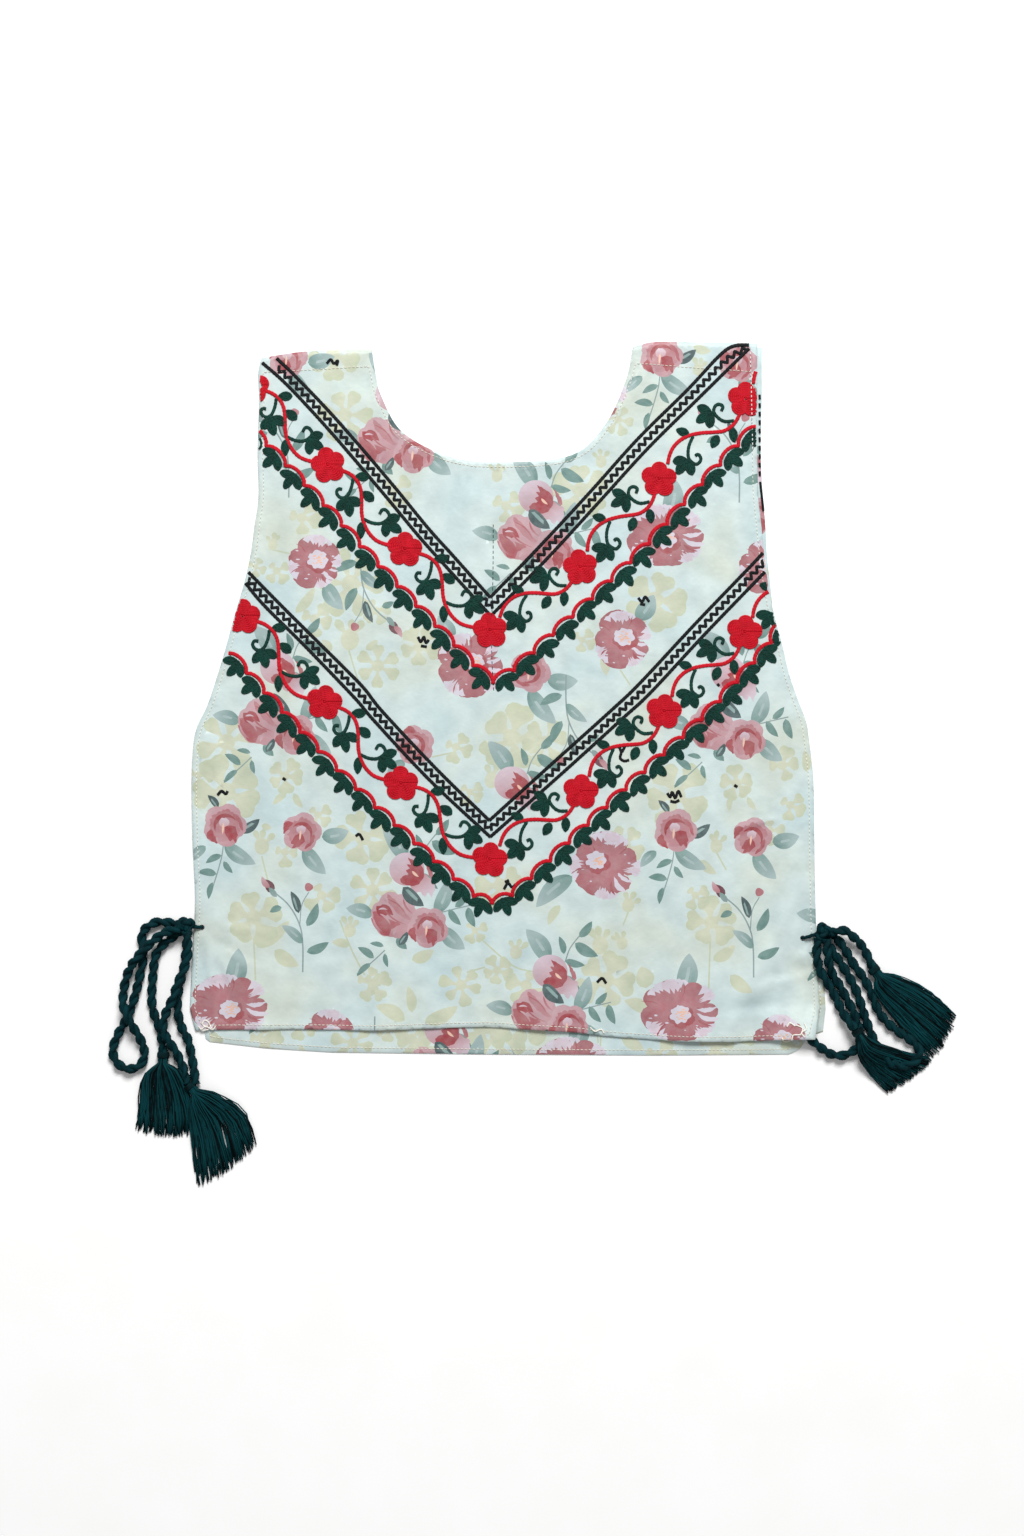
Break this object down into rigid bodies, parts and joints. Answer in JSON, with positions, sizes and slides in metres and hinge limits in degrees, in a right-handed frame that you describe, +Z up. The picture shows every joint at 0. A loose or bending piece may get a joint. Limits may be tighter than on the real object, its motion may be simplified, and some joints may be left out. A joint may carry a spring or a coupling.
{
  "type": "embroidered waistcoat",
  "caption": "Sleeveless printed satin top laid flat, with V-shaped bands of embroidery, tied at each side with tasselled cords.",
  "frame": {"origin": "on the table, under the middle of the cloth panels' box", "axes": "+X to the right in the front view, +Y from the hem to the shoulders, +Z up from the table"},
  "size_m": [0.6747, 0.6753, 0.017],
  "materials": {
    "printed_satin": "satin cloth, printed",
    "yarn_cord": "matt twisted yarn",
    "tassel_yarn": "matt loose yarn",
    "embroidery_thread": "matt chain-stitched thread"
  },
  "bodies": {
    "root": {"back_panel": "printed_satin", "front_panel": "printed_satin", "left_loop_cord": "yarn_cord", "left_short_end_cord": "yarn_cord", "left_upper_strand_cord": "yarn_cord", "left_lower_strand_cord": "yarn_cord", "right_short_end_cord": "yarn_cord", "right_loop_cord": "yarn_cord", "right_tucked_loop_cord": "yarn_cord", "right_long_end_cord": "yarn_cord", "left_knot": "yarn_cord", "right_knot": "yarn_cord", "left_upper_tassel": "tassel_yarn", "left_lower_tassel": "tassel_yarn", "right_upper_tassel": "tassel_yarn", "right_lower_tassel": "tassel_yarn"}
  },
  "joints": []
}
